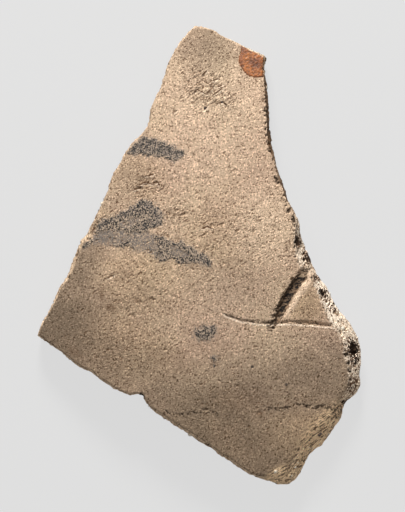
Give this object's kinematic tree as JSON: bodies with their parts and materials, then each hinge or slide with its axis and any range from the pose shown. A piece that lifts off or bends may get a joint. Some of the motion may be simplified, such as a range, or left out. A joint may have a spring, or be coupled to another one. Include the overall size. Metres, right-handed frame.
{
  "type": "pottery sherd",
  "caption": "Broken piece of a jar wall with an incised stroke mark, dark pigment patches and a rough broken edge, lying outside up.",
  "frame": {"origin": "under the middle of the sherd's box, at the height that it rests on", "axes": "+Z out of the jar's outer face, +Y along the jar's axis towards the narrow end of the sherd, +X round the jar"},
  "size_m": [0.0986, 0.14, 0.0161],
  "materials": {
    "outer_skin": "smoothed buff clay skin, matt, finely pitted",
    "clay_core": "rough broken cream-buff clay with voids and temper",
    "inner_skin": "wet-smoothed buff clay with throwing ridges",
    "dark_pigment": "worn thin dark grey-brown pigment",
    "red_paint": "thin orange-red paint, slightly glossy, worn",
    "burial_soil": "dark crumbly soil",
    "lime_temper": "matt white lime",
    "grit_temper": "dark grit"
  },
  "bodies": {
    "root": {"outer_skin": "outer_skin", "clay_core": "clay_core", "inner_skin": "inner_skin", "dark_stroke_upper": "dark_pigment", "dark_stroke_middle": "dark_pigment", "dark_spot_lower": "dark_pigment", "dark_fleck": "dark_pigment", "red_daub": "red_paint", "groove_soil": "burial_soil", "lime_grain_1": "lime_temper", "lime_grain_2": "lime_temper", "lime_grain_3": "lime_temper", "lime_grain_4": "lime_temper", "grit_grain_1": "grit_temper", "grit_grain_2": "grit_temper", "grit_grain_3": "grit_temper", "grit_grain_4": "grit_temper", "grit_grain_5": "grit_temper", "grit_grain_6": "grit_temper"}
  },
  "joints": []
}
